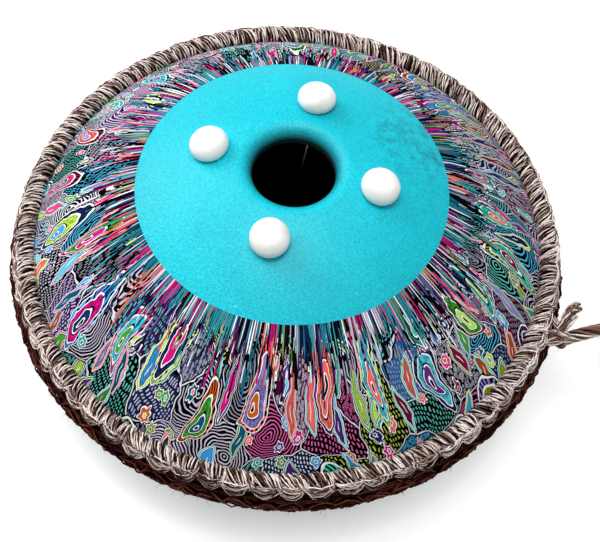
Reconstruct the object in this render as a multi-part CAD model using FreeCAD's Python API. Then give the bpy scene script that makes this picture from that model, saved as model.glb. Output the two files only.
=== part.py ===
import FreeCAD, Part
import os
from math import acos, asin, cos, degrees, hypot, pi, radians, sin, sqrt, tan

from FreeCAD import Rotation, Vector

# A steel tongue drum that lies on its playing side, with its port shell and four feet on top.
# Millimetres, +Z up out of the port. The origin is on the floor, under the middle of the drum.
# The feet stand on the X and Y axes.

# The two pressed steel shells
sheet = 1.5                    # steel thickness
rim_radius = 248.0             # where a dome meets its flange, outside
flange_width = 8.5
port_dome_height = 124.5       # from the flange's outer face to the dome's top, were it whole
tongue_dome_height = 105.5     # from the flange's outer face to the flat crown
crown_radius = 65.0            # flat middle of the playing side
crown_blend = 40.0             # outside radius that eases the crown into the dome
seal_thickness = 0.8           # bead of adhesive between the flanges
seal_width = 7.0

# The port
port_radius = 37.0             # clear hole in the rolled neck
lip_radius = 13.0              # outside of the roll from the dome into the neck
neck_depth = 3.0               # straight neck below the roll

# Tongues: one in the crown, the others round it, each freed by a slot shaped like a U
tongue_count = 8
tongue_root_radius = 205.0
longest_tongue = 126.0
shortest_tongue = 84.0
widest_tongue = 58.0
narrowest_tongue = 44.0
crown_tongue_length = 74.0
crown_tongue_width = 48.0
slot_width = 1.5
slot_end_radius = 2.0          # round hole that ends each leg of a slot

# Printed films on the outside of both domes
film_thickness = 0.25
port_film_inner_radius = 140.8
tongue_film_gap = 4.0          # from the roots of the tongues out to the film on their dome
film_stop = 4.5                # from the foot of a dome back to its film's edge, under the rim wrap

# The cord work that wraps the rim
fit_gap = 0.2                  # clearance between neighbouring soft pieces and steel
core_radius = 7.0              # the cord that lies in the corner of dome and flange
upper_wrap_thickness = 3.4     # hitched cord over the upper core
lower_wrap_thickness = 4.4     # the lower wrap is looser, and stands out further
upper_loop_radius = 4.8        # outer loops that cover the flange's edge
lower_loop_radius = 7.6
loop_reach = 1.0               # from the flange's edge to the middle of the loops
hitch_count = 68               # hitches round the rim
hitch_swell = 0.9              # how far a hitch swells and dips
hitch_steps = 3                # sections for each hitch
bare_core = radians(38)        # share of the core's girth left bare beside dome and flange
loop_rise = 0.85               # height of the loops' middle, as a share of their radius
wrap_dip = radians(12)         # where roll and loops meet, above the core's middle

# Feet
foot_ring_radius = 76.0
foot_radius = 17.5             # at its widest
foot_base_radius = 15.5
foot_side_height = 5.5         # from the base up to the widest place
foot_dome_radius = 11.5        # rounding from the widest place to the flat top
pad_radius = 14.5
pad_thickness = 1.0

# Where the rim cord is tied off, with its two tails
knot_azimuth = -7.5
knot_radius = 12.0
knot_height_above_seam = 6.0
long_tail_diameter = 10.0
short_tail_diameter = 6.4
end_knot_radius = 9.5

# What follows from those sizes
flange_radius = rim_radius + flange_width
film_outer_radius = rim_radius - film_stop
tongue_film_inner_radius = tongue_root_radius + tongue_film_gap
seam_low = tongue_dome_height + sheet              # mating face of the lower flange
seam_high = seam_low + seal_thickness              # mating face of the upper flange
seam_middle = seam_low + seal_thickness / 2
flange_face = seal_thickness / 2 + sheet           # a flange's outer face, from the middle
port_sphere = (rim_radius ** 2 + port_dome_height ** 2) / (2 * port_dome_height)
port_centre_z = seam_high + sheet + port_dome_height - port_sphere
crown_to_centre = (rim_radius ** 2 + tongue_dome_height ** 2 - crown_radius ** 2) / (2 * tongue_dome_height)
tongue_sphere = hypot(crown_radius, crown_to_centre)
tongue_centre_z = crown_to_centre
outer_reach = flange_radius + loop_reach + lower_loop_radius + hitch_swell

axis_up = Vector(0, 0, 1)
middle = Vector(0, 0, 0)


def on_profile(r, z):
    return Vector(r, 0, z)


def port_z(r, offset=0.0):
    """Height of the port dome at radius r, offset outwards."""
    return port_centre_z + sqrt((port_sphere + offset) ** 2 - r ** 2)


def tongue_z(r, offset=0.0):
    """Height of the playing dome at radius r, offset outwards."""
    return tongue_centre_z - sqrt((tongue_sphere + offset) ** 2 - r ** 2)


def lines(*points):
    return [Part.makeLine(on_profile(*a), on_profile(*b)) for a, b in zip(points, points[1:])]


def arc(start, through, end):
    return Part.Arc(on_profile(*start), on_profile(*through), on_profile(*end)).toShape()


def dome_arc(height_at, r_start, r_end, offset):
    """Arc along a dome from one radius to another; height_at is port_z or tongue_z."""
    r_half = (r_start + r_end) / 2
    return arc(*[(r, height_at(r, offset)) for r in (r_start, r_half, r_end)])


def revolve(edges):
    """Solid swept by a closed profile about the drum's axis."""
    wire = Part.Wire(Part.__sortEdges__(edges))
    return Part.Face(wire).revolve(middle, axis_up, 360)


def tongue_places():
    """Length, width and azimuth of each tongue, longest at the front, shorter by turns to both sides."""
    places = []
    for i in range(tongue_count):
        share = i / (tongue_count - 1)
        length = longest_tongue + share * (shortest_tongue - longest_tongue)
        width = widest_tongue + share * (narrowest_tongue - widest_tongue)
        side = -1 if i % 2 else 1
        azimuth = -90 + side * (i + 1) // 2 * 360 / tongue_count
        places.append((length, width, azimuth))
    return places


def tongue_slot(length, width, root):
    """Cutter for a slot round a tongue that points from x = root back towards the axis."""
    half_slot = slot_width / 2
    below = -sheet
    height = seam_low + 2 * sheet
    round_x = root - length + width / 2
    outlines = []
    for half in (width / 2 + half_slot, width / 2 - half_slot):
        outlines.append([Vector(root, half, below), Vector(round_x, half, below),
                         Vector(round_x - half, 0, below), Vector(round_x, -half, below),
                         Vector(root, -half, below)])
    outer, inner = outlines
    edges = [Part.makeLine(outer[0], outer[1]), Part.Arc(*outer[1:4]).toShape(),
             Part.makeLine(outer[3], outer[4]), Part.makeLine(outer[4], inner[4]),
             Part.makeLine(inner[4], inner[3]), Part.Arc(*inner[1:4]).toShape(),
             Part.makeLine(inner[1], inner[0]), Part.makeLine(inner[0], outer[0])]
    slot = Part.Face(Part.Wire(Part.__sortEdges__(edges))).extrude(axis_up * height)
    ends = [Part.makeCylinder(slot_end_radius, height, Vector(root, side * width / 2, below))
            for side in (1, -1)]
    return slot.fuse(ends)


def tongue_shell():
    """The playing side: a dome with a flat crown, a flange, and a slot round each tongue."""
    inner_crown = sqrt((tongue_sphere - sheet) ** 2 - (tongue_centre_z - sheet) ** 2)
    inner_rim = sqrt((tongue_sphere - sheet) ** 2 - (tongue_centre_z - seam_low) ** 2)
    profile = lines((0, sheet), (0, 0), (crown_radius, 0))
    profile.append(dome_arc(tongue_z, crown_radius, rim_radius, 0))
    profile += lines((rim_radius, seam_low - sheet), (flange_radius, seam_low - sheet),
                     (flange_radius, seam_low), (inner_rim, seam_low))
    profile.append(dome_arc(tongue_z, inner_rim, inner_crown, -sheet))
    profile += lines((inner_crown, sheet), (0, sheet))
    shell = revolve(profile)
    for z, radius in ((0, crown_blend), (sheet, crown_blend - sheet)):
        kink = [e for e in shell.Edges if e.Closed and abs(e.BoundBox.ZMin - z) < 1e-4
                and e.BoundBox.ZLength < 1e-3 and e.BoundBox.XLength > crown_radius]
        shell = shell.makeFillet(radius, kink)
    slots = []
    for length, width, azimuth in tongue_places():
        slot = tongue_slot(length, width, tongue_root_radius)
        slot.rotate(middle, axis_up, azimuth)
        slots.append(slot)
    slots.append(tongue_slot(crown_tongue_length, crown_tongue_width, crown_tongue_length / 2))
    return shell.cut(slots)


def port_shell():
    """The underside: a dome with a flange, rolled in at the middle into the port's neck."""
    roll_r = port_radius + lip_radius
    roll_z = port_centre_z + sqrt((port_sphere - lip_radius) ** 2 - roll_r ** 2)
    roll_angle = asin(roll_r / (port_sphere - lip_radius))
    half_angle = (roll_angle + pi / 2) / 2
    neck_end = roll_z - neck_depth
    inner_rim = sqrt((port_sphere - sheet) ** 2 - (seam_high - port_centre_z) ** 2)

    def roll(radius):
        """Quarter roll from the dome to the neck, and the radius where it leaves the dome."""
        start = (roll_r + radius * sin(roll_angle), roll_z + radius * cos(roll_angle))
        turn = roll_angle - half_angle
        through = (roll_r + radius * sin(turn), roll_z + radius * cos(turn))
        return arc(start, through, (roll_r - radius, roll_z)), start[0]

    outer_roll, outer_start = roll(lip_radius)
    inner_roll, inner_start = roll(lip_radius - sheet)
    profile = [outer_roll, inner_roll,
               dome_arc(port_z, outer_start, rim_radius, 0), dome_arc(port_z, inner_start, inner_rim, -sheet)]
    profile += lines((port_radius, roll_z), (port_radius, neck_end), (port_radius + sheet, neck_end),
                     (port_radius + sheet, roll_z))
    profile += lines((rim_radius, seam_high + sheet), (flange_radius, seam_high + sheet),
                     (flange_radius, seam_high), (inner_rim, seam_high))
    return revolve(profile)


def flange_seal():
    """Flat ring of adhesive between the two flanges."""
    inner = flange_radius - seal_width
    return revolve(lines((inner, seam_low), (flange_radius, seam_low), (flange_radius, seam_high),
                         (inner, seam_high), (inner, seam_low)))


def film(height_at, inner):
    """Printed film on the outside of a dome, from the radius inner to under the wrap."""
    outer = film_outer_radius
    edges = [dome_arc(height_at, inner, outer, 0), dome_arc(height_at, outer, inner, film_thickness)]
    for r in (inner, outer):
        edges += lines((r, height_at(r, 0)), (r, height_at(r, film_thickness)))
    return revolve(edges)


def core_place(sphere, centre_z, side):
    """Radius and height from the seam of a core cord that touches both dome and flange."""
    height = flange_face + fit_gap + core_radius
    from_centre = height - side * (centre_z - seam_middle)
    return sqrt((sphere + fit_gap + core_radius) ** 2 - from_centre ** 2), height


def core_cord(sphere, centre_z, side):
    r, height = core_place(sphere, centre_z, side)
    return Part.makeTorus(r, core_radius, Vector(0, 0, seam_middle + side * height), axis_up)


def wrap_section(sphere, centre_z, side, thickness, loop_radius, swell):
    """Cut through the hitched cord: a roll over the core, then the loops round the flange's edge."""
    core_r, core_h = core_place(sphere, centre_z, side)
    centre_h = side * (centre_z - seam_middle)
    hold = core_radius + fit_gap
    roll = core_radius + thickness
    loop_r = flange_radius + loop_reach
    loop_h = loop_radius * loop_rise
    skin = sphere + film_thickness + fit_gap
    # tip of the wrap, where its roll meets the film on the dome
    reach = hypot(core_r, core_h - centre_h)
    lean = asin(core_r / reach)
    back = acos((skin ** 2 + reach ** 2 - roll ** 2) / (2 * skin * reach))
    tip = (skin * sin(lean - back), centre_h + skin * cos(lean - back))
    # where the core comes out of the wrap, a little way round from the dome and from the flange
    dome_side = lean + bare_core
    core_top = (core_r - hold * sin(dome_side), core_h - hold * cos(dome_side))
    core_low = (core_r + hold * sin(bare_core), core_h - hold * cos(bare_core))
    core_half = (dome_side - bare_core) / 2
    core_mid = (core_r + hold * cos(core_half), core_h + hold * sin(core_half))
    # top of the roll, the dip between roll and loops, and the outside of the loops
    tip_angle = acos((tip[0] - core_r) / roll)
    dip = (core_r + roll * cos(wrap_dip), core_h + roll * sin(wrap_dip))
    top_angle = (tip_angle + wrap_dip) / 2
    top = (core_r + (roll + swell) * cos(top_angle), core_h + (roll + swell) * sin(top_angle))
    seam = fit_gap / 2
    foot = (loop_r + sqrt(loop_radius ** 2 - (loop_h - seam) ** 2), seam)
    bulge = (loop_r + loop_radius + swell, loop_h)
    edge = flange_radius + fit_gap
    points = [tip, top, dip, bulge, foot, (edge, seam), (edge, flange_face + fit_gap), core_low, core_mid, core_top]
    tip, top, dip, bulge, foot, edge_low, edge_high, core_low, core_mid, core_top = [
        (r, seam_middle + side * h) for r, h in points]
    return Part.Wire([arc(tip, top, dip), arc(dip, bulge, foot), *lines(foot, edge_low, edge_high, core_low),
                      arc(core_low, core_mid, core_top), *lines(core_top, tip)])


def rim_wrap(sphere, centre_z, side, thickness, loop_radius):
    """Closed ring of hitched cord; its roll and loops swell once in each hitch."""
    sections = []
    steps = hitch_count * hitch_steps
    for i in range(steps):
        swell = hitch_swell * cos(2 * pi * i / hitch_steps)
        section = wrap_section(sphere, centre_z, side, thickness, loop_radius, swell)
        section.rotate(middle, axis_up, 360 * i / steps)
        sections.append(section)
    return Part.makeLoft(sections, True, True, True)


def foot_placement(azimuth):
    """Stands a piece that is made about +Z on the port dome, square to the steel."""
    tilt = degrees(asin(foot_ring_radius / port_sphere))
    turn = Rotation(axis_up, azimuth).multiply(Rotation(Vector(0, 1, 0), tilt))
    angle = radians(azimuth)
    place = Vector(foot_ring_radius * cos(angle), foot_ring_radius * sin(angle), port_z(foot_ring_radius))
    return FreeCAD.Placement(place, turn)


def placed(shape, placement):
    shape.Placement = placement.multiply(shape.Placement)
    return shape


def foot(azimuth):
    """Domed silicone bumper: bulging side, rounded shoulder and flat top."""
    base = pad_thickness
    widest = base + foot_side_height
    top = widest + foot_dome_radius
    top_radius = foot_radius - foot_dome_radius
    draw_in = foot_radius - foot_base_radius
    side_radius = (draw_in ** 2 + foot_side_height ** 2) / (2 * draw_in)
    side_turn = asin(foot_side_height / side_radius) / 2
    side_half = (foot_radius - side_radius * (1 - cos(side_turn)), widest - side_radius * sin(side_turn))
    dome_half = (top_radius + foot_dome_radius * cos(pi / 4), widest + foot_dome_radius * sin(pi / 4))
    profile = lines((top_radius, top), (0, top), (0, base), (foot_base_radius, base))
    profile.append(arc((foot_base_radius, base), side_half, (foot_radius, widest)))
    profile.append(arc((foot_radius, widest), dome_half, (top_radius, top)))
    return placed(revolve(profile), foot_placement(azimuth))


def foot_pad(azimuth):
    """Adhesive disc between a foot and the steel, hollowed to the dome's curve."""
    disc = Part.makeCylinder(pad_radius, 2 * pad_thickness, Vector(0, 0, -pad_thickness))
    dome = Part.makeSphere(port_sphere, Vector(0, 0, port_centre_z))
    return placed(disc, foot_placement(azimuth)).cut(dome)


def tangent_path(points):
    """Wire of straight runs joined by arcs, each as large as its two runs allow; also its arc radii."""
    edges = []
    radii = []
    start = points[0]
    for before, corner, after in zip(points, points[1:], points[2:]):
        to_corner = (corner - before).normalize()
        from_corner = (after - corner).normalize()
        shorter = min((corner - before).Length, (after - corner).Length)
        turn = to_corner.getAngle(from_corner)
        ease = 0.45 * shorter
        radius = ease / tan(turn / 2)
        arc_start = corner - to_corner * ease
        arc_end = corner + from_corner * ease
        inward = (from_corner - to_corner).normalize()
        arc_middle = corner + inward * (radius / cos(turn / 2) - radius)
        edges += [Part.makeLine(start, arc_start), Part.Arc(arc_start, arc_middle, arc_end).toShape()]
        radii.append(radius)
        start = arc_end
    edges.append(Part.makeLine(start, points[-1]))
    return Part.Wire(edges), radii


def cord(name, route, diameter):
    """Round cord along its route."""
    points = [Vector(*p) for p in route]
    path, radii = tangent_path(points)
    ring = Part.Wire(Part.makeCircle(diameter / 2, points[0], points[1] - points[0]))
    solid = path.makePipeShell([ring], True, False)
    plain = pi * diameter ** 2 / 4 * path.Length
    print(f"{name}: {path.Length:.1f} mm long, arc radii {[round(r, 1) for r in radii]}, "
          f"volume {solid.Volume / plain:.4f} of section times length")
    return solid


# Where the tails run: out of the tie, over the edge and down to the floor
knot_angle = radians(knot_azimuth)
knot_place = Vector(outer_reach * cos(knot_angle), outer_reach * sin(knot_angle),
                    seam_middle + knot_height_above_seam)
long_tail_route = [(271, -35, 112), (288, -25, 114), (306, -12, 110), (320, 1, 92),
                   (326, 9, 64), (331, 20, 36), (338, 38, 13), (342, 61, 5.2), (341, 86, 5.2), (333, 106, 6)]
short_tail_route = [(268, -31, 121), (270, -18, 125), (275, -5, 122), (281, 4, 112)]


def tie_knot():
    """The knot that ties off the rim cord, pressed against the wrap."""
    ball = Part.makeSphere(knot_radius, knot_place)
    inside = Part.makeCylinder(outer_reach + fit_gap, 4 * knot_radius,
                               Vector(0, 0, knot_place.z - 2 * knot_radius))
    return ball.cut(inside)


def tails():
    """Both tails, clear of the knots that they come out of and end in."""
    tie = tie_knot()
    end = Vector(*long_tail_route[-1])
    end.z = end_knot_radius
    end_knot = Part.makeSphere(end_knot_radius, end)
    long_tail = cord("long_tail", long_tail_route, long_tail_diameter).cut([tie, end_knot])
    short_tail = cord("short_tail", short_tail_route, short_tail_diameter).cut(tie)
    return {"tie_knot": tie, "long_tail": long_tail, "long_tail_knot": end_knot, "short_tail": short_tail}


port_side = (port_sphere, port_centre_z, 1)
tongue_side = (tongue_sphere, tongue_centre_z, -1)
nodes = {
    "tongue_shell": tongue_shell(),
    "port_shell": port_shell(),
    "flange_seal": flange_seal(),
    "port_print_film": film(port_z, port_film_inner_radius),
    "tongue_print_film": film(tongue_z, tongue_film_inner_radius),
    "upper_core_cord": core_cord(*port_side),
    "lower_core_cord": core_cord(*tongue_side),
    "upper_rim_wrap": rim_wrap(*port_side, upper_wrap_thickness, upper_loop_radius),
    "lower_rim_wrap": rim_wrap(*tongue_side, lower_wrap_thickness, lower_loop_radius),
}
for place, azimuth in (("right", 0), ("back", 90), ("left", 180), ("front", 270)):
    nodes[f"{place}_foot"] = foot(azimuth)
    nodes[f"{place}_foot_pad"] = foot_pad(azimuth)
nodes.update(tails())

os.makedirs("parts", exist_ok=True)
for name, shape in nodes.items():
    shape.exportStep(f"parts/{name}.step")
    print(f"{name}: {len(shape.Solids)} solid, {shape.Volume / 1000:.2f} cm3, valid {shape.isValid()}, "
          f"{len(shape.Faces)} faces")
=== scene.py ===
import math
from functools import partial

import bpy
import numpy as np
from mathutils import Matrix, Vector


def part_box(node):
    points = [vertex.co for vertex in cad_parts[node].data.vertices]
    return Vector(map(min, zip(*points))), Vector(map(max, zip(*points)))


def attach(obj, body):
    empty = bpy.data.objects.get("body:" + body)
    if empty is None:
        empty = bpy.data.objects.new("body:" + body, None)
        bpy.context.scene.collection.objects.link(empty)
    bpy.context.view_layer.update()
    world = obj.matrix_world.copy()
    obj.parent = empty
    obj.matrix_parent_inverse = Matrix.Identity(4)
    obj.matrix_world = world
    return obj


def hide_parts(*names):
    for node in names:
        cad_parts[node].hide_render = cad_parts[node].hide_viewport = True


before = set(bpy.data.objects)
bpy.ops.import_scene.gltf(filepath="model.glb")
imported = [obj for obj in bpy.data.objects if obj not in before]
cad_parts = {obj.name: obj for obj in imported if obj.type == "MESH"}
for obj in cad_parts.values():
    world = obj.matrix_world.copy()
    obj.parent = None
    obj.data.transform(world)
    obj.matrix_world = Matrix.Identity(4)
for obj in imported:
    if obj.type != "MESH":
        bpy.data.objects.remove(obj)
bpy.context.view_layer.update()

# Steel tongue drum on its playing side, port up. Metres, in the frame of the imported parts.
mm = 0.001
print("stage: frame loaded")


# small helpers
def linear(hexColour):
    # sRGB hex to linear light
    channels = [int(hexColour[i:i + 2], 16) / 255 for i in (1, 3, 5)]
    return [c / 12.92 if c <= 0.04045 else ((c + 0.055) / 1.055) ** 2.4 for c in channels] + [1.0]


def addNode(tree, kind, inputs=None, output=0, stops=(), **settings):
    # one shader node: kind may end in a colon and an operation, inputs are {slot: link or value}, stops are a
    # colour ramp's places and colours, and one of its output sockets comes back
    kind, _, operation = kind.partition(":")
    node = tree.nodes.new("ShaderNode" + kind)
    if operation:
        node.operation = operation
    for name, value in settings.items():
        setattr(node, name, value)
    if stops:
        ramp = node.color_ramp
        ramp.interpolation = "CONSTANT" if len(stops[0]) == 2 else stops[0][2]
        while len(ramp.elements) < len(stops):
            ramp.elements.new(1.0)
        for element, stop in zip(ramp.elements, stops):
            element.position = stop[0]
            element.color = linear(stop[1])
    for slot, value in (inputs or {}).items():
        if isinstance(value, bpy.types.NodeSocket):
            tree.links.new(value, node.inputs[slot])
        else:
            node.inputs[slot].default_value = value
    return node.outputs[output] if len(node.outputs) else None


def newMaterial(name):
    # an empty material, addNode for its tree, and the place of the point shaded, in metres
    material = bpy.data.materials.new(name)
    material.use_nodes = True
    material.node_tree.nodes.clear()
    node = partial(addNode, material.node_tree)
    return material, node, node("TexCoord", output=3)


def overprinted(node, colour, layers):
    # lays each (share, ink) over the colours before it
    for share, ink in layers:
        colour = node("Mix", {0: share, 6: colour, 7: ink}, 2, data_type="RGBA")
    return colour


def radiusFromAxis(node, place):
    # the place with its height left out, and its distance from the drum's axis
    flat = node("VectorMath:MULTIPLY", {0: place, 1: (1, 1, 0)})
    return flat, node("VectorMath:LENGTH", {0: flat}, 1)


def addPiece(name, points, quads, tone, material, replaced):
    # a smooth mesh that rides on the drum in place of the node replaced: points is (n, 3) in metres, quads
    # (m, 4) indices into it, and tone one number for each point, read by the material
    mesh = bpy.data.meshes.new(name)
    mesh.vertices.add(len(points))
    mesh.vertices.foreach_set("co", np.asarray(points, np.float32).ravel())
    mesh.loops.add(quads.size)
    mesh.loops.foreach_set("vertex_index", np.asarray(quads, np.int32).ravel())
    mesh.polygons.add(len(quads))
    mesh.polygons.foreach_set("loop_start", np.arange(0, quads.size, 4, dtype=np.int32))
    mesh.update(calc_edges=True)
    mesh.shade_smooth()
    mesh.materials.append(material)
    toneValues = mesh.attributes.new("tone", "FLOAT", "POINT")
    toneValues.data.foreach_set("value", np.asarray(tone, np.float32).ravel())
    piece = bpy.data.objects.new(name, mesh)
    bpy.context.collection.objects.link(piece)
    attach(piece, "root")
    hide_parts(replaced)
    return piece


def dressNode(name, material):
    # a CAD node keeps its mesh and takes the material
    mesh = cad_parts[name].data
    mesh.materials.clear()
    mesh.materials.append(material)


def gridQuads(rows, columns, closeRows=False, closeColumns=False):
    # quads of a grid of rows x columns points, either way closed into a ring
    r = np.arange(rows if closeRows else rows - 1)
    c = np.arange(columns if closeColumns else columns - 1)
    r, c = np.meshgrid(r, c, indexing="ij")
    here, below = r * columns, (r + 1) % rows * columns
    after = (c + 1) % columns
    return np.stack([here + c, here + after, below + after, below + c], -1).reshape(-1, 4)


def tubes(paths, radii, outward, tones, sides=6, shadeSpan=0.5):
    # each path (k, n, 3) gets rings of its radius (k, n) square to it, turned towards outward, and closed
    # ends; a point's tone is its path's tone plus shadeSpan times the cosine of its turn from outward,
    # painted shade that darkens each tube's sides and the side away from outward
    count, steps = paths.shape[:2]
    along = np.gradient(paths, axis=1)
    along /= np.linalg.norm(along, axis=2, keepdims=True)
    normal = outward - (outward * along).sum(2, keepdims=True) * along
    normal /= np.linalg.norm(normal, axis=2, keepdims=True)
    side = np.cross(along, normal)
    turn = np.arange(sides) * 2 * np.pi / sides
    ring = np.cos(turn)[:, None] * normal[:, :, None] + np.sin(turn)[:, None] * side[:, :, None]
    points = paths[:, :, None] + ring * radii[:, :, None, None]
    wall = gridQuads(steps, sides, closeColumns=True)
    first = np.array([[0, 3, 2, 1], [0, 5, 4, 3]]) if sides == 6 else np.array([[0, 3, 2, 1]])
    last = first[:, ::-1] + (steps - 1) * sides
    tubeQuads = np.concatenate([wall, first, last])
    quads = tubeQuads[None] + (np.arange(count) * steps * sides)[:, None, None]
    tone = np.broadcast_to(np.asarray(tones)[:, None, None] + shadeSpan * np.cos(turn), points.shape[:3])
    return points.reshape(-1, 3), quads.reshape(-1, 4), tone.ravel()


def joined(*parts):
    # several (points, quads, tone) sets as one
    starts = np.cumsum([0] + [len(part[0]) for part in parts[:-1]])
    quads = np.concatenate([part[1] + start for part, start in zip(parts, starts)])
    return np.concatenate([part[0] for part in parts]), quads, np.concatenate([part[2] for part in parts])


def smoothNoise(rng, shape, wavelength):
    # sum of three random sines along the last axis, about -1 to 1
    x = np.linspace(0, 1, shape[-1])
    total = np.zeros(shape)
    for share in (1.0, 0.6, 0.35):
        phase = rng.uniform(0, 2 * np.pi, shape[:-1] + (1,))
        total += share * np.sin(2 * np.pi * x / (wavelength * share) + phase)
    return total / 1.95


def nodeCorners(name):
    low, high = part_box(name)
    return np.array(low), np.array(high)


# camera
view = {"azimuth": 10.71, "elevation": 59.78, "roll": 5.19, "distance": 1.060,
        "panRight": 0.01333, "panUp": -0.03206, "aimHeight": 0.113, "lens": 66.0}


def addCamera():
    # stands at the elevation and azimuth of the picture, with its small roll to the right
    a, e, roll = (math.radians(view[k]) for k in ("azimuth", "elevation", "roll"))
    back = Vector((math.sin(a) * math.cos(e), -math.cos(a) * math.cos(e), math.sin(e)))
    right = Vector((math.cos(a), math.sin(a), 0))
    up = back.cross(right)
    place = back * view["distance"] + right * view["panRight"] + up * view["panUp"]
    place.z += view["aimHeight"]
    rolledRight = right * math.cos(roll) + up * math.sin(roll)
    rolledUp = up * math.cos(roll) - right * math.sin(roll)
    data = bpy.data.cameras.new("camera")
    data.lens = view["lens"]
    data.sensor_width = 36.0
    data.clip_start = 0.01
    camera = bpy.data.objects.new("camera", data)
    camera.matrix_world = Matrix.Translation(place) @ Matrix(
        (rolledRight, rolledUp, back)).transposed().to_4x4()
    bpy.context.scene.collection.objects.link(camera)
    bpy.context.scene.camera = camera


addCamera()
print("stage: camera")


# materials
palette = ["#d0147f", "#f2675c", "#c65a1e", "#b7e04a", "#3f9b2f", "#2b9f9a", "#4fc3d9", "#3a9be0",
           "#5a2a80", "#1b2a60", "#7a1240", "#8a9a1a", "#8d7cc0", "#0f566c", "#e83a86", "#38c7b0"]


# places in the enamel, in metres
enamelLook = {
    "wornMiddle": (0.098, 0.074, 0.215),
    "wornReach": (0.066, 0.02),          # none of the dull patch past the first, all of it within the second
    "cavityMiddle": (0, 0, 0.1074),      # half way between the flanges
    "lowerShellTop": 0.107,
    "wrapFrom": 0.2455,                  # past this radius the flanges under the rim wrap get near black painted shade
    "neckRadius": 0.0505,
    "neckShadeHeights": (0.2292, 0.2185),        # heights where the painted shade down the neck starts, and where it is near black
    "cavityFrom": 0.052,
}


def tealEnamel():
    # sprayed enamel on pressed steel: satin, with a pebbled grain that has painted shade in its low places,
    # faint clouds, a few pale specks and one dull mottled patch at the back right; painted shade makes it
    # near black inside the cavity, on the flanges under the rim wrap and down the neck
    look = enamelLook
    material, node, place = newMaterial("tealEnamel")
    clouds = node("TexNoise", {"Vector": place, "Scale": 9.0, "Detail": 3.0})
    colour = node("ValToRGB", {"Fac": clouds}, stops=[
        (0.30, "#03bacb", "EASE"), (0.50, "#06c8da"), (0.72, "#10d2e4")])
    peel = node("TexNoise", {"Vector": place, "Scale": 560.0, "Detail": 3.0, "Roughness": 0.6})
    # painted shade: the low places of the peel get a darker teal
    pits = node("MapRange", {"Value": peel, 1: 0.36, 2: 0.62, 3: 0.44, 4: 0.0})
    # pale cyan specks where two noises agree
    speckCells = node("TexVoronoi", {"Vector": place, "Scale": 95.0})
    speck = node("Math:LESS_THAN", {0: speckCells, 1: 0.06})
    speckThin = node("TexNoise", {"Vector": place, "Scale": 40.0, "Detail": 1.0})
    speckHere = node("Math:GREATER_THAN", {0: speckThin, 1: 0.57})
    speckMask = node("Math:MULTIPLY", {0: speck, 1: speckHere})
    speckPart = node("Math:MULTIPLY", {0: speckMask, 1: 0.5})
    worn = node("VectorMath:DISTANCE", {0: place, 1: look["wornMiddle"]}, 1)
    wornFar, wornNear = look["wornReach"]
    wornShare = node("MapRange", {"Value": worn, 1: wornFar, 2: wornNear})
    blots = node("TexNoise", {"Vector": place, "Scale": 105.0, "Detail": 5.0, "Roughness": 0.75,
                              "Distortion": 0.2})
    blot = node("MapRange", {"Value": blots, 1: 0.45, 2: 0.68, 3: 0.0, 4: 0.8})
    blotPart = node("Math:MULTIPLY", {0: blot, 1: wornShare})
    colour = overprinted(node, colour, ((pits, linear("#027686")), (speckPart, linear("#b9f4f6")),
                                        (blotPart, linear("#0d5f70"))))

    # painted shade: near black on the surfaces that face the cavity's middle and on the flanges under the rim
    # wrap, and a darkening down the neck's wall
    height = node("SeparateXYZ", {0: place}).node.outputs[2]
    radius = radiusFromAxis(node, place)[1]
    inward = node("VectorMath:SUBTRACT", {0: look["cavityMiddle"], 1: place})
    inward = node("VectorMath:NORMALIZE", {0: inward})
    facing = node("NewGeometry", output=1)
    turnedIn = node("VectorMath:DOT_PRODUCT", {0: facing, 1: inward}, 1)
    turnedIn = node("Math:GREATER_THAN", {0: turnedIn, 1: -0.45})
    underWrap = node("Math:GREATER_THAN", {0: radius, 1: look["wrapFrom"]})
    turnedIn = node("Math:MAXIMUM", {0: turnedIn, 1: underWrap})
    pastNeck = node("Math:GREATER_THAN", {0: radius, 1: look["cavityFrom"]})
    lowHalf = node("Math:LESS_THAN", {0: height, 1: look["lowerShellTop"]})
    inCavity = node("Math:MAXIMUM", {0: pastNeck, 1: lowHalf})
    paintedShade = node("Math:MULTIPLY", {0: turnedIn, 1: inCavity})
    neck = node("Math:LESS_THAN", {0: radius, 1: look["neckRadius"]})
    shadeTop, shadeLow = look["neckShadeHeights"]
    neckShade = node("MapRange", {"Value": height, 1: shadeTop, 2: shadeLow, 3: 0.0, 4: 0.97})
    neckShade = node("Math:MULTIPLY", {0: neckShade, 1: neck})
    paintedShade = node("Math:MAXIMUM", {0: paintedShade, 1: neckShade})
    colour = overprinted(node, colour, [(paintedShade, linear("#07090a"))])

    peelBump = node("Bump", {"Height": peel, "Distance": 0.0008, "Strength": 0.8})
    roughness = node("MapRange", {"Value": clouds, 1: 0.3, 2: 0.7, 3: 0.38, 4: 0.46})
    roughness = node("Mix", {0: paintedShade, 2: roughness, 3: 0.9})
    paint = node("BsdfPrincipled", {"Base Color": colour, "Roughness": roughness,
                                    "Normal": peelBump, "Specular IOR Level": 0.22,
                                    "Coat Weight": 0.08, "Coat Roughness": 0.25})
    node("OutputMaterial", {"Surface": paint})
    return material


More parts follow.
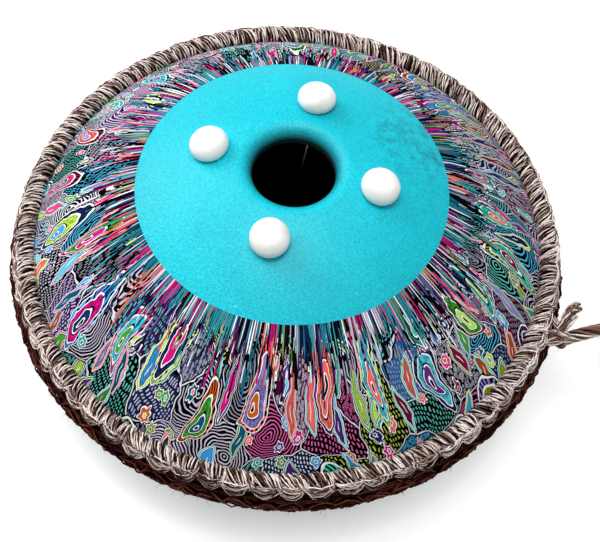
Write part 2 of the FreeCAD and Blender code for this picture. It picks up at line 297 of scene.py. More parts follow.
def cellMotif(node, place, cell, shift, turn):
    # scatters one motif: returns the place in millimetres from the nearest cell's middle, turned by up to
    # half of turn either way, and two sets of three random numbers that are the cell's own
    shifted = node("VectorMath:ADD", {0: place, 1: shift})
    scaled = node("VectorMath:DIVIDE", {0: shifted, 1: cell})
    cells = node("TexVoronoi", {"Vector": scaled, "Scale": 1.0, "Randomness": 0.72}, 1,
                 voronoi_dimensions="2D")
    middle = cells.node.outputs["Position"]
    away = node("VectorMath:SUBTRACT", {0: scaled, 1: middle})
    local = node("VectorMath:MULTIPLY", {0: away, 1: cell})
    first = node("SeparateColor", {0: cells})
    shuffled = node("VectorMath:MULTIPLY", {0: cells, 1: (7.3, 11.9, 5.7)})
    wrapped = node("VectorMath:FRACTION", {0: shuffled})
    second = node("SeparateColor", {0: wrapped})
    angle = node("MapRange", {"Value": first, 3: -turn / 2, 4: turn / 2})
    turned = node("VectorRotate", {"Vector": local, "Angle": angle}, rotation_type="Z_AXIS")
    return turned, list(first.node.outputs), list(second.node.outputs)


# the print: radii in metres, the rest in millimetres of the flat strip that it is drawn on
printLook = {
    "discRadius": 0.1408,
    "rimRadius": 0.2405,
    "aroundRadius": 245.0,               # the strip is as long as the drum is round at this radius
    "stripWidth": 58.0,
    "drawnOut": 1.7,                     # above 1, what stands near the disc is drawn out along the radius
    "seamTurn": math.radians(80),        # where the strip's two ends meet, hidden from the front
    "field": (46.0, 30.0, 1),
    "rosetteCell": (15.0, 15.0, 1),
    "leafCell": (23.0, 33.0, 1),
    "dropCell": (58.0, 46.0, 1),
    "contours": 15.0,                    # in one field
    "dashColumn": 1.4,
    "dashRow": 3.7,
    "dot": 2.3,
    "streak": 1.9,
    "beam": 15.0,                        # streaks of one colour come in beams of this width
}
inks = [(i / len(palette), colour) for i, colour in enumerate(palette)]


def motifShare(node, level, edge, pick, share):
    # 1 inside a motif's edge, in that share of the cells that hold one
    inside = node("Math:LESS_THAN", {0: level, 1: edge})
    held = node("Math:LESS_THAN", {0: pick, 1: share})
    return node("Math:MULTIPLY", {0: inside, 1: held})


def filmPlace(node, place):
    # the place on the film as a radius, a share of the way out, the place around, and a point (u, v) of the
    # flat strip: u = angle x aroundRadius and v = stripWidth x share ^ drawnOut, both swayed by soft noise
    flat, radius = radiusFromAxis(node, place)
    turned = node("VectorRotate", {"Vector": flat, "Angle": printLook["seamTurn"]}, rotation_type="Z_AXIS")
    turnedX = node("SeparateXYZ", {0: turned})
    turnedY = turnedX.node.outputs[1]
    angle = node("Math:ARCTAN2", {0: turnedY, 1: turnedX})
    u = node("Math:MULTIPLY", {0: angle, 1: printLook["aroundRadius"]})
    outward = node("MapRange", {"Value": radius, 1: printLook["discRadius"], 2: printLook["rimRadius"]})
    drawn = node("Math:POWER", {0: outward, 1: printLook["drawnOut"]})
    v = node("Math:MULTIPLY", {0: drawn, 1: printLook["stripWidth"]})
    strip = node("CombineXYZ", {0: u, 1: v})
    sway = node("TexNoise", {"Vector": place, "Scale": 13.0, "Detail": 1.0}, 1)
    wobble = node("TexNoise", {"Vector": place, "Scale": 70.0, "Detail": 1.0}, 1)
    swayed = node("VectorMath:MULTIPLY_ADD", {0: sway, 1: (34.0, 34.0, 0), 2: (-17.0, -17.0, 0)})
    wobbled = node("VectorMath:MULTIPLY_ADD", {0: wobble, 1: (7.0, 7.0, 0), 2: swayed})
    strip = node("VectorMath:ADD", {0: strip, 1: wobbled})
    return radius, outward, u, strip


def fields(node, strip, stripU, stripV):
    # the ground: fields, each black or dark, filled with contour lines, dashes or ringed dots
    fieldPlace = node("VectorMath:DIVIDE", {0: strip, 1: printLook["field"]})
    field = node("TexVoronoi", {"Vector": fieldPlace, "Scale": 1.0}, 1, voronoi_dimensions="2D")
    fieldFar = field.node.outputs[0]
    fieldEdge = node("TexVoronoi", {"Vector": fieldPlace, "Scale": 1.0}, 0,
                     voronoi_dimensions="2D", feature="DISTANCE_TO_EDGE")
    kind = node("SeparateColor", {0: field})
    groundPick, inkPick = kind.node.outputs[1:3]
    ground = node("ValToRGB", {"Fac": groundPick}, stops=[
        (0.0, "#050507"), (0.26, "#10224a"), (0.36, "#32124a"), (0.46, "#08080a"), (0.60, "#470c2c"),
        (0.67, "#0c3842"), (0.78, "#060608"), (0.90, "#8c1a5e"), (0.94, "#1f5c94")])
    ink = node("ValToRGB", {"Fac": inkPick}, stops=[
        (0.0, "#bdb7cb"), (0.30, "#5fb8ae"), (0.44, "#8d8a9c"), (0.60, "#d6dae0"), (0.70, "#a2ba4c"),
        (0.76, "#d0609c"), (0.84, "#4fb2d6"), (0.93, "#c8c2d4")])
    contour = node("Math:MULTIPLY", {0: fieldFar, 1: printLook["contours"]})
    contourWave = node("Math:FRACT", {0: contour})
    contourLine = node("Math:LESS_THAN", {0: contourWave, 1: 0.36})
    column = node("Math:MULTIPLY", {0: stripU, 1: 1 / printLook["dashColumn"]})
    columnWave = node("Math:PINGPONG", {0: column, 1: 1.0})
    columnIn = node("Math:LESS_THAN", {0: columnWave, 1: 0.42})
    rowStep = node("Math:ROUND", {0: column})
    row = node("Math:MULTIPLY", {0: rowStep, 1: 0.37})
    dashPlace = node("Math:MULTIPLY_ADD", {0: stripV, 1: 1 / printLook["dashRow"], 2: row})
    dashWave = node("Math:FRACT", {0: dashPlace})
    dashIn = node("Math:LESS_THAN", {0: dashWave, 1: 0.58})
    dashes = node("Math:MULTIPLY", {0: columnIn, 1: dashIn})
    dotCells = node("TexVoronoi", {"Vector": strip, "Scale": 1 / printLook["dot"]}, voronoi_dimensions="2D")
    dots = node("Math:LESS_THAN", {0: dotCells, 1: 0.19})
    dotRings = node("Math:COMPARE", {0: dotCells, 1: 0.39, 2: 0.055})
    dots = node("Math:ADD", {0: dots, 1: dotRings})
    manyDashes = node("Math:GREATER_THAN", {0: kind, 1: 0.42})
    manyDots = node("Math:GREATER_THAN", {0: kind, 1: 0.70})
    filling = node("Mix", {0: manyDashes, 2: contourLine, 3: dashes})
    filling = node("Mix", {0: manyDots, 2: filling, 3: dots})
    border = node("ValToRGB", {"Fac": fieldEdge}, stops=[(0.0, "#d6d2e0"), (0.011, "#000000")])
    atBorder = node("Math:LESS_THAN", {0: fieldEdge, 1: 0.034})
    return overprinted(node, ground, ((filling, ink), (atBorder, border))), dots


def rosettes(node, strip, drawing):
    # small rosettes, about 11 mm across: level is the radius over a six-lobed outline
    spot, first, second = cellMotif(node, strip, printLook["rosetteCell"], (31.0, 7.0, 0), 6.2)
    x = node("SeparateXYZ", {0: spot})
    angle = node("Math:ARCTAN2", {0: x.node.outputs[1], 1: x})
    lobes = node("Math:MULTIPLY", {0: angle, 1: 6.0})
    lobeWave = node("Math:COSINE", {0: lobes})
    outline = node("Math:MULTIPLY_ADD", {0: lobeWave, 1: 0.9, 2: 5.6})
    far = node("VectorMath:LENGTH", {0: spot}, 1)
    spotLevel = node("Math:DIVIDE", {0: far, 1: outline})
    petal, heart = (node("ValToRGB", {"Fac": pick[1]}, stops=inks) for pick in (first, second))
    rings = node("ValToRGB", {"Fac": spotLevel}, stops=[
        (0.0, "#000000"), (0.20, "#f4f4f6"), (0.30, "#000000"), (0.66, "#eeeef2"), (0.80, "#000000")])
    isHeart = node("Math:LESS_THAN", {0: spotLevel, 1: 0.20})
    isPetal = node("Math:COMPARE", {0: spotLevel, 1: 0.48, 2: 0.18})
    rosette = overprinted(node, rings, ((isHeart, heart), (isPetal, petal)))
    return overprinted(node, drawing, [(motifShare(node, spotLevel, 0.94, second[2], 0.36), rosette)])


def leaves(node, strip, drawing):
    # leaves, about 13 x 34 mm: level is |x| over half the width, plus y squared over half the length squared
    leaf, first, second = cellMotif(node, strip, printLook["leafCell"], (3.0, 11.0, 0), 1.1)
    x = node("SeparateXYZ", {0: leaf})
    wide = node("Math:ABSOLUTE", {0: x})
    wide = node("Math:MULTIPLY", {0: wide, 1: 1 / 6.6})
    long = node("Math:MULTIPLY", {0: x.node.outputs[1], 1: 1 / 17.0})
    leafLevel = node("Math:MULTIPLY_ADD", {0: long, 1: long, 2: wide})
    bands = node("ValToRGB", {"Fac": leafLevel}, stops=[
        (0.0, "#f0f0f2"), (0.06, "#000000"), (0.50, "#060608"), (0.58, "#f2f2f4"), (0.66, "#000000"),
        (0.84, "#f2f2f4"), (0.92, "#040406")])
    blade, edge = (node("ValToRGB", {"Fac": pick[1]}, stops=inks) for pick in (first, second))
    inBlade = node("Math:COMPARE", {0: leafLevel, 1: 0.28, 2: 0.22})
    inEdge = node("Math:COMPARE", {0: leafLevel, 1: 0.75, 2: 0.09})
    veinPlace = node("Math:MULTIPLY_ADD", {0: wide, 1: 1.6, 2: long})
    veinWave = node("Math:PINGPONG", {0: veinPlace, 1: 0.1})
    vein = node("Math:LESS_THAN", {0: veinWave, 1: 0.035})
    veined = node("Math:GREATER_THAN", {0: second[0], 1: 0.5})
    veinShare = node("Math:MULTIPLY", {0: vein, 1: veined})
    blade = overprinted(node, blade, [(veinShare, linear("#0a0a10"))])
    ink = overprinted(node, bands, ((inBlade, blade), (inEdge, edge)))
    return overprinted(node, drawing, [(motifShare(node, leafLevel, 1.0, second[2], 0.62), ink)])


def curledDrops(node, strip, drawing, dots):
    # large drops, about 24 x 44 mm: level is the radius of an oval whose width falls towards its tip and
    # whose spine bends as a parabola
    drop, first, second = cellMotif(node, strip, printLook["dropCell"], (17.0, 29.0, 0), 1.9)
    x = node("SeparateXYZ", {0: drop})
    long = node("Math:MULTIPLY", {0: x.node.outputs[1], 1: 1 / 22.0})
    bend = node("MapRange", {"Value": first[2], 3: -9.0, 4: 9.0})
    bendShare = node("Math:MULTIPLY", {0: long, 1: long})
    bent = node("Math:MULTIPLY_ADD", {0: bendShare, 1: bend, 2: x})
    halfWidth = node("Math:MULTIPLY_ADD", {0: long, 1: -8.0, 2: 11.5})
    halfWidth = node("Math:MAXIMUM", {0: halfWidth, 1: 2.0})
    wide = node("Math:DIVIDE", {0: bent, 1: halfWidth})
    dropPlace = node("CombineXYZ", {0: wide, 1: long})
    dropLevel = node("VectorMath:LENGTH", {0: dropPlace}, 1)
    angle = node("Math:ARCTAN2", {0: long, 1: wide})
    teeth = node("Math:PINGPONG", {0: angle, 1: 0.14})
    tooth = node("Math:LESS_THAN", {0: teeth, 1: 0.07})
    bands = node("ValToRGB", {"Fac": dropLevel}, stops=[
        (0.0, "#08080c"), (0.10, "#f4f4f6"), (0.15, "#000000"), (0.34, "#f2f2f4"), (0.39, "#060608"),
        (0.44, "#000000"), (0.66, "#f4f4f6"), (0.71, "#050507"), (0.88, "#f2f2f4"), (0.94, "#030305")])
    inner, flesh, fringe = (node("ValToRGB", {"Fac": pick}, stops=inks)
                            for pick in (first[1], second[1], second[0]))
    seedsIn = node("Math:MULTIPLY", {0: dots, 1: 0.85})
    flesh = overprinted(node, flesh, [(seedsIn, linear("#0a0c18"))])
    inInner, inFlesh, inFringe = (
        node("Math:COMPARE", {0: dropLevel, 1: middle, 2: reach})
        for middle, reach in ((0.245, 0.095), (0.55, 0.11), (0.795, 0.085)))
    fringeShare = node("Math:MULTIPLY", {0: inFringe, 1: tooth})
    ink = overprinted(node, bands, ((inInner, inner), (inFlesh, flesh), (fringeShare, fringe)))
    return overprinted(node, drawing, [(motifShare(node, dropLevel, 0.98, second[2], 0.80), ink)])


def streaks(node, radius, outward, u, stripU, drawing):
    # streaks that shoot out from the teal disc: long thin cells, each with its own ink and reach
    across = node("Math:MULTIPLY", {0: u, 1: 1 / printLook["streak"]})
    slant = node("Math:MULTIPLY", {0: radius, 1: 24.0})
    streakPlace = node("CombineXYZ", {0: across, 1: slant})
    cells = node("TexVoronoi", {"Vector": streakPlace, "Scale": 1.0, "Randomness": 0.9}, 1,
                 voronoi_dimensions="2D")
    toSeam = node("TexVoronoi", {"Vector": streakPlace, "Scale": 1.0, "Randomness": 0.9}, 0,
                  voronoi_dimensions="2D", feature="DISTANCE_TO_EDGE")
    random = node("SeparateColor", {0: cells})
    ink = node("ValToRGB", {"Fac": random}, stops=[
        (0.0, "#0a0a12"), (0.12, "#d8d3e2"), (0.27, "#c01c72"), (0.33, "#2a7f9c"), (0.43, "#16162c"),
        (0.52, "#d8684e"), (0.55, "#a79fbd"), (0.66, "#44266e"), (0.74, "#36a0ac"), (0.84, "#7fa63c"),
        (0.87, "#cc4a88"), (0.91, "#f2f0f8")])
    beamAcross = node("Math:MULTIPLY", {0: stripU, 1: 1 / printLook["beam"]})
    beamSlant = node("Math:MULTIPLY", {0: radius, 1: 13.0})
    beamPlace = node("CombineXYZ", {0: beamAcross, 1: beamSlant})
    beam = node("TexVoronoi", {"Vector": beamPlace, "Scale": 1.0}, 1, voronoi_dimensions="2D")
    beamPick = node("SeparateColor", {0: beam})
    beamInk = node("ValToRGB", {"Fac": beamPick}, stops=[
        (0.0, "#1d6f86"), (0.18, "#c01a72"), (0.32, "#3a2a6c"), (0.48, "#0a0a12"), (0.62, "#2f9aa0"),
        (0.76, "#6a5a96"), (0.88, "#e2705a"), (0.94, "#12284e")])
    inBeam = node("Math:GREATER_THAN", {0: random.node.outputs[2], 1: 0.60})
    seam = node("Math:LESS_THAN", {0: toSeam, 1: 0.12})
    ink = overprinted(node, ink, ((inBeam, beamInk), (seam, linear("#06060a"))))
    reach = node("Math:MULTIPLY_ADD", {0: random.node.outputs[1], 1: 0.55, 2: 0.05})
    inStreak = node("Math:GREATER_THAN", {0: reach, 1: outward})
    return overprinted(node, drawing, [(inStreak, ink)])


def printedFilm():
    # screen-printed vinyl: matt inks on black, a ground of patterned fields with motifs scattered on it
    material, node, place = newMaterial("printedVinyl")
    radius, outward, u, strip = filmPlace(node, place)
    stripU = node("SeparateXYZ", {0: strip})
    drawing, dots = fields(node, strip, stripU, stripU.node.outputs[1])
    drawing = rosettes(node, strip, drawing)
    drawing = leaves(node, strip, drawing)
    drawing = curledDrops(node, strip, drawing, dots)
    drawing = streaks(node, radius, outward, u, stripU, drawing)
    grain = node("TexNoise", {"Vector": place, "Scale": 500.0})
    roughness = node("MapRange", {"Value": grain, 1: 0.3, 2: 0.7, 3: 0.50, 4: 0.60})
    bump = node("Bump", {"Height": grain, "Distance": 0.0002, "Strength": 0.2})
    paint = node("BsdfPrincipled", {"Base Color": drawing, "Roughness": roughness, "Normal": bump,
                                    "Specular IOR Level": 0.0})
    node("OutputMaterial", {"Surface": paint})
    return material


def cordFibre(name, dark, middle, light, sheen):
    # soft spun cotton cord: matt, with painted shade that makes it pale on the crowns of the plies and dark
    # between them. Shade is 0.44 tone + 0.40 fine noise + 0.25 broad noise - 0.06; tone is each strand's own,
    # and higher on its outer side as painted light.
    material, node, place = newMaterial(name)
    tone = node("Attribute", output=2, attribute_name="tone")
    fibre = node("TexNoise", {"Vector": place, "Scale": 900.0, "Detail": 3.0, "Roughness": 0.65})
    patch = node("TexNoise", {"Vector": place, "Scale": 60.0})
    fibreShare = node("Math:MULTIPLY_ADD", {0: fibre, 1: 0.40, 2: -0.06})
    toneShare = node("Math:MULTIPLY_ADD", {0: tone, 1: 0.44, 2: fibreShare})
    shade = node("Math:MULTIPLY_ADD", {0: patch, 1: 0.25, 2: toneShare})
    colour = node("ValToRGB", {"Fac": shade}, stops=[(0.33, dark, "EASE"), (0.59, middle), (0.86, light)])
    bump = node("Bump", {"Height": fibre, "Distance": 0.0004, "Strength": 0.5})
    cloth = node("BsdfPrincipled", {"Base Color": colour, "Roughness": 0.85, "Normal": bump,
                                    "Specular IOR Level": 0.08, "Sheen Weight": sheen,
                                    "Sheen Roughness": 0.5})
    node("OutputMaterial", {"Surface": cloth})
    return material


def whiteSilicone():
    # moulded silicone rubber: white, smooth and slightly translucent, with a soft gloss
    material, node, place = newMaterial("whiteSilicone")
    grain = node("TexNoise", {"Vector": place, "Scale": 300.0})
    dust = node("TexNoise", {"Vector": place, "Scale": 45.0, "Detail": 3.0})
    colour = node("ValToRGB", {"Fac": dust}, stops=[(0.35, "#e9e9e6", "EASE"), (0.60, "#f7f7f5")])
    bump = node("Bump", {"Height": grain, "Distance": 0.0002, "Strength": 0.15})
    rubber = node("BsdfPrincipled", {"Base Color": colour, "Roughness": 0.3, "Normal": bump,
                                     "Subsurface Weight": 0.1, "Subsurface Scale": 0.004})
    node("OutputMaterial", {"Surface": rubber})
    return material


def clearAdhesive():
    # acrylic foam tape and cured flange adhesive: grey-white, matt, slightly pitted
    material, node, place = newMaterial("adhesive")
    pits = node("TexNoise", {"Vector": place, "Scale": 700.0})
    colour = node("ValToRGB", {"Fac": pits}, stops=[(0.3, "#9a9c9a", "EASE"), (0.7, "#c4c6c4")])
    bump = node("Bump", {"Height": pits, "Distance": 0.0002, "Strength": 0.4})
    glue = node("BsdfPrincipled", {"Base Color": colour, "Roughness": 0.7, "Normal": bump})
    node("OutputMaterial", {"Surface": glue})
    return material


enamel = tealEnamel()
film = printedFilm()
paleCord = cordFibre("paleCord", "#120503", "#805c50", "#fff3ec", 0.03)
# the lower cords take the pale cord's material in darker colours, painted shade for the underside of the rim
shadedCord = cordFibre("shadedCord", "#120403", "#43150f", "#7c4638", 0.0)
silicone = whiteSilicone()
adhesive = clearAdhesive()
for name, material in (("tongue_shell", enamel), ("port_shell", enamel), ("port_print_film", film),
                       ("tongue_print_film", film), ("flange_seal", adhesive),
                       ("upper_core_cord", paleCord), ("lower_core_cord", shadedCord)):
    dressNode(name, material)
print("stage: materials")


# the hitched cord round the rim
wrap = {
    "hitches": 68,             # round the rim
    "strandRadius": 0.00055,   # metres, as the other radii here
    "acrossSteps": 7,
    "plyStrands": 3,
    "plyRadius": 0.00072,
    "plyTurns": 1.2,
    "rollFrom": 182,           # degrees of the roll's section, from the dome's side over the top
    "rollTurn": 150,
    "throat": 0.50,            # how much of a hitch's width is drawn in on the outside
    "tones": (-0.50, 1.10),
    "sideShadeSpan": 0.95,
    "loopSteps": 9,
    "hairRadius": 0.00011,
    "seed": 7,
}
pitch = 2 * np.pi / wrap["hitches"]
# across, loops and fillers are strands in one hitch, and hairs are for the whole rim. The band that the loops
# lie on starts at loopStart from the core's line (out, up, in mm), and turns through sweep degrees of an oval
# with the radii loopRun; rest is the share of the swing that a loop keeps at its ends.
# ground is the tone of the skin under the strands, dark as painted shade between them
upperWrap = {"core": "upper_core_cord", "node": "upper_rim_wrap", "side": 1, "across": 27, "loops": 16,
             "hairs": 300, "fillers": 0, "fat": 1.0, "loopStart": (4.6, 8.9), "loopRun": (4.7, 17.4),
             "sweep": 90, "rest": 0.0, "widen": 1.0, "scatter": 0.00085, "ground": -1.2, "seed": 0}
lowerWrap = {"core": "lower_core_cord", "node": "lower_rim_wrap", "side": -1, "across": 12, "loops": 16,
             "hairs": 800, "fillers": 5, "fat": 1.35, "loopStart": (6.0, 9.4), "loopRun": (8.0, 9.4),
             "sweep": 155, "rest": 0.5, "widen": 1.3, "scatter": 0.0013, "ground": -0.3, "seed": 1}


def polar(radius, theta, height):
    return np.stack(np.broadcast_arrays(radius * np.cos(theta), radius * np.sin(theta), height), -1)


skyward = np.array([0.13, 0.31, 0.94])    # upwards and a little back, for strands that have no core to face; their painted light falls from this side


def hairPaths(rng, starts, outward, count, length, steps=5):
    # stray fibres from points of the cord: place = start + reach x (first t + 0.55 curl t^2 (1 - t / 2))
    pick = rng.integers(0, len(starts), count)
    first = rng.normal(size=(count, 3)) + 0.7 * outward[pick]
    first /= np.linalg.norm(first, axis=1, keepdims=True)
    curl = rng.normal(size=(count, 3))
    reach = length * rng.uniform(0.4, 1.0, (count, 1, 1))
    t = np.linspace(0, 1, steps)[None, :, None]
    curled = 0.55 * curl[:, None] * t ** 2 * (1 - 0.5 * t)
    return starts[pick][:, None] + reach * (first[:, None] * t + curled)


def hairTubes(rng, paths, thickest, palest):
    # tapered hairs, each of one shade
    radii = wrap["hairRadius"] * np.linspace(thickest, 0.5, paths.shape[1]) + 0 * paths[..., 0]
    upwards = np.broadcast_to(skyward, paths.shape)
    return tubes(paths, radii, upwards, rng.uniform(0.2, palest, len(paths)), 4, 0.1)


def rimRing(look):
    # the circle that a wrap is laid round: its core cord's line, and the radius of the roll over the core
    coreLow, coreHigh = nodeCorners(look["core"])
    wrapLow, wrapHigh = nodeCorners(look["node"])
    height = (coreHigh[2] + coreLow[2]) / 2
    farthest = wrapHigh[2] if look["side"] > 0 else wrapLow[2]
    return {"radius": coreHigh[0] - (coreHigh[2] - coreLow[2]) / 2, "height": height,
            "roll": abs(farthest - height) - wrap["strandRadius"]}


def strandTubes(rng, paths, radii, outward):
    # each strand takes its own share of its radii, and its own tone
    count, steps = paths.shape[:2]
    radii = radii.reshape(count, steps) * rng.uniform(0.8, 1.15, (count, 1))
    return tubes(paths, radii, outward, rng.uniform(*wrap["tones"], count), 4, wrap["sideShadeSpan"])


def acrossStrands(rng, look, ring, unit):
    # At angle a of the roll's section a strand stands at the roll's radius, and slides along the rim into the
    # hitch's throat as a falls to the outside. The strands of a ply wind round each other: at turn w a strand
    # stands plyRadius x cos w along the rim and 0.7 plyRadius x sin w off the roll.
    hitches, strands, n, steps = wrap["hitches"], wrap["plyStrands"], look["across"], wrap["acrossSteps"]
    plies = n // strands
    ply, member = np.divmod(np.arange(n), strands)

    def eachPly(least, most):
        return rng.uniform(least, most, (hitches, plies, 1))[:, ply]

    t = np.linspace(0, 1, steps)[None, None, :]
    lane = ((ply + 0.5) / plies - 0.5)[None, :, None] + eachPly(-0.035, 0.035)
    wind = 2 * np.pi * (eachPly(0, 1) + (member / strands)[:, None] + wrap["plyTurns"] * t)
    angle = np.radians(wrap["rollFrom"] - wrap["rollTurn"] * t) + eachPly(-0.10, 0.10)
    bow = 0.14 * np.sin(np.pi * t) * (lane * 2)
    slant = rng.uniform(-0.05, 0.50, (hitches, 1, 1)) * (t - 0.5)
    slant = slant + eachPly(-0.16, 0.16) * (t - 0.5)
    drift = lane * (1.04 - wrap["throat"] * t ** 2) + 0.30 * t ** 2.2 + bow + slant
    drift = drift + wrap["plyRadius"] / (ring["radius"] * pitch) * np.cos(wind)
    drift = drift + 0.022 * smoothNoise(rng, (hitches, n, steps), 0.55)
    crown = 1 - (np.abs(lane) * 2) ** 2.5
    roll = ring["roll"] + 0.0010 * crown - 0.0009 - 0.0022 * t ** 4
    roll = roll + 0.00045 * smoothNoise(rng, (hitches, n, steps), 0.8)
    roll = roll + 0.7 * wrap["plyRadius"] * np.sin(wind)
    theta = unit + drift * pitch
    across = polar(ring["radius"] + roll * np.cos(angle), theta,
                   ring["height"] + look["side"] * roll * np.sin(angle)).reshape(-1, steps, 3)
    core = polar(ring["radius"], theta, ring["height"] + 0 * theta).reshape(-1, steps, 3)
    radii = wrap["strandRadius"] * (0.82 + 0.25 * np.sin(np.pi * np.clip(t, 0.02, 0.98))) + 0 * theta
    return across, across - core, strandTubes(rng, across, radii, across - core)


def loopStrands(rng, look, ring, unit):
    # Loop strands leave the throat, swing down an outer band as a half sine, each to its own rank, and go
    # back in. The band is an oval: out = start + run x sin, fall = start - run x (1 - cos) of the swing.
    hitches, n, steps = wrap["hitches"], look["loops"], wrap["loopSteps"]
    scatter = look["scatter"]
    t = np.linspace(0, 1, steps)[None, None, :]
    rank = ((np.arange(n) + 0.6) / n)[None, :, None] + rng.uniform(-0.06, 0.06, (hitches, n, 1))
    rank = rank * rng.uniform(0.90, 1.04, (hitches, 1, 1))
    swing = look["rest"] + (1 - look["rest"]) * np.clip(np.sin(np.pi * t ** 0.9), 0, 1) ** 0.8
    along = -0.46 + rng.uniform(-0.07, 0.07, (hitches, n, 1)) + 1.10 * t + 0.08 * (rank - 0.5) * (2 * t - 1)
    along = along + 0.05 * smoothNoise(rng, (hitches, n, steps), 0.5)
    down = np.radians(look["sweep"]) * np.clip(rank * swing, 0, 1.05)
    out = look["loopStart"][0] + look["loopRun"][0] * np.sin(down) - 1.8 * (1 - swing)
    fall = look["loopStart"][1] - look["loopRun"][1] * (1 - np.cos(down)) - 0.6 * (1 - swing)
    radius = ring["radius"] + out * mm + scatter * rng.uniform(-1, 1, (hitches, n, 1))
    radius = radius + scatter * smoothNoise(rng, (hitches, n, steps), 0.6)
    lift = fall * mm + scatter * smoothNoise(rng, (hitches, n, steps), 0.6)
    theta = unit + along * pitch
    loops = polar(radius, theta, ring["height"] + look["side"] * lift).reshape(-1, steps, 3)
    middle = polar(ring["radius"], theta, ring["height"] - look["side"] * 0.004 + 0 * theta)
    outward = loops - middle.reshape(-1, steps, 3)
    radii = look["fat"] * wrap["strandRadius"] * (0.85 + 0.25 * swing) + 0 * theta
    return loops, outward, strandTubes(rng, loops, radii, outward)


def fillerStrands(rng, look, ring, unit):
    # slack strands that run along the rim where the two cords' loops meet
    hitches, n, steps = wrap["hitches"], look["fillers"], wrap["loopSteps"]
    shape = (hitches, n, steps)
    t = np.linspace(0, 1, steps)[None, None, :]
    theta = unit + (rng.uniform(-0.5, 0.5, (hitches, n, 1)) + 1.5 * (t - 0.5)) * pitch
    out = rng.uniform(7.0, 11.5, (hitches, n, 1)) * mm
    radius = ring["radius"] + out + 0.0012 * smoothNoise(rng, shape, 0.6)
    lift = rng.uniform(-12.5, -7.5, (hitches, n, 1)) * mm + 0.0014 * smoothNoise(rng, shape, 0.6)
    fillers = polar(radius, theta, ring["height"] + look["side"] * lift).reshape(-1, steps, 3)
    radii = np.full(fillers.shape[:2], wrap["strandRadius"] * look["fat"])
    radii = radii * rng.uniform(0.7, 1.1, (hitches * n, 1))
    upwards = np.broadcast_to(skyward, fillers.shape)
    return tubes(fillers, radii, upwards, rng.uniform(-0.3, 0.7, hitches * n), 4, 0.7)


def skinUnder(look, ring):
    # the cord underneath, as a closed skin just inside the strands, dark as painted shade between them. Its
    # section is the roll's circle, widened outwards and cut off short of the loops, and it is carried round
    # the rim.
    turn = np.radians(np.arange(0, 360, 22.5))
    skinOut = (look["loopStart"][0] + look["loopRun"][0] - 2.4) * mm
    skin = (ring["roll"] - 0.0014) * np.stack([np.cos(turn), np.sin(turn)])
    skin[0] = np.where(skin[0] > 0, skin[0] * look["widen"], skin[0])
    skin[0] = np.minimum(skin[0], np.where(skin[1] < -0.003, skinOut - 0.003, skinOut))
    sections = 180
    aroundRim = np.arange(sections)[:, None] * 2 * np.pi / sections
    points = polar(ring["radius"] + skin[0][None], aroundRim + 0 * turn,
                   ring["height"] + look["side"] * skin[1][None]).reshape(-1, 3)
    quads = gridQuads(sections, len(turn), closeRows=True, closeColumns=True)
    return points, quads if look["side"] > 0 else quads[:, ::-1], np.full(len(points), look["ground"])


def rimWrap(name, look, material):
    rng = np.random.default_rng(wrap["seed"] + look["seed"])
    ring = rimRing(look)
    hitches = wrap["hitches"]
    unit = (np.arange(hitches) + rng.uniform(-0.10, 0.10, hitches))[:, None, None] * pitch
    across, acrossOut, overRoll = acrossStrands(rng, look, ring, unit)
    loops, loopsOut, overEdge = loopStrands(rng, look, ring, unit)
    between = fillerStrands(rng, look, ring, unit)

    # stray fibres, three times as often on the loops
    starts, away = (np.concatenate([a[:, 2:-1].reshape(-1, 3), np.repeat(b[:, 2:-2].reshape(-1, 3), 3, 0)])
                    for a, b in ((across, loops), (acrossOut, loopsOut)))
    away /= np.linalg.norm(away, axis=1, keepdims=True)
    hairs = hairTubes(rng, hairPaths(rng, starts, away, look["hairs"], 0.0075), 1.3, 1.1)
    points, quads, tone = joined(skinUnder(look, ring), overRoll, overEdge, between, hairs)
    addPiece(name, points, quads, tone, material, look["node"])
    print(name, "triangles", 2 * len(quads))


rimWrap("upperRimWrap", upperWrap, paleCord)
rimWrap("lowerRimWrap", lowerWrap, shadedCord)
print("stage: rim wrap")


# the tails and knots; what lies on the floor stays floorGap above it
floorGap = 0.0002
longTail = {"route": [(271, -35, 112), (288, -25, 114), (306, -12, 110), (320, 1, 92), (326, 9, 64),
                      (331, 20, 36), (338, 38, 13), (342, 61, 5.2), (341, 86, 5.2), (333, 106, 6)],
            "diameter": 10.0, "full": 1.22, "yarns": (14, 7), "turns": 2.6, "fray": 0.0, "hairs": 320,
            "seed": 21}
shortTail = {"route": [(268, -31, 121), (270, -18, 125), (275, -5, 122), (281, 4, 112)],
             "diameter": 6.4, "full": 1.25, "yarns": (9, 4), "turns": 0.5, "fray": 1.6, "hairs": 260,
             "seed": 22}


def centreLine(route, samples=64):
    # points read from the smooth NURBS line of a route, as (n, 3) metres, evenly spaced, and its length
    curve = bpy.data.curves.new("route", "CURVE")
    curve.dimensions = "3D"
    spline = curve.splines.new("NURBS")
    spline.points.add(len(route) - 1)
    for point, place in zip(spline.points, route):
        point.co = (place[0] * mm, place[1] * mm, place[2] * mm, 1)
    spline.order_u = 3
    spline.use_endpoint_u = True
    spline.resolution_u = 24
    holder = bpy.data.objects.new("route", curve)
    bpy.context.collection.objects.link(holder)
    line = bpy.data.meshes.new_from_object(holder)
    places = np.empty(len(line.vertices) * 3, np.float32)
    line.vertices.foreach_get("co", places)
    bpy.data.objects.remove(holder)
    bpy.data.curves.remove(curve)
    bpy.data.meshes.remove(line)
    places = places.reshape(-1, 3).astype(float)
    run = np.concatenate([[0], np.cumsum(np.linalg.norm(np.diff(places, axis=0), axis=1))])
    even = np.linspace(0, run[-1], samples)
    return np.stack([np.interp(even, run, places[:, i]) for i in range(3)], -1), run[-1]


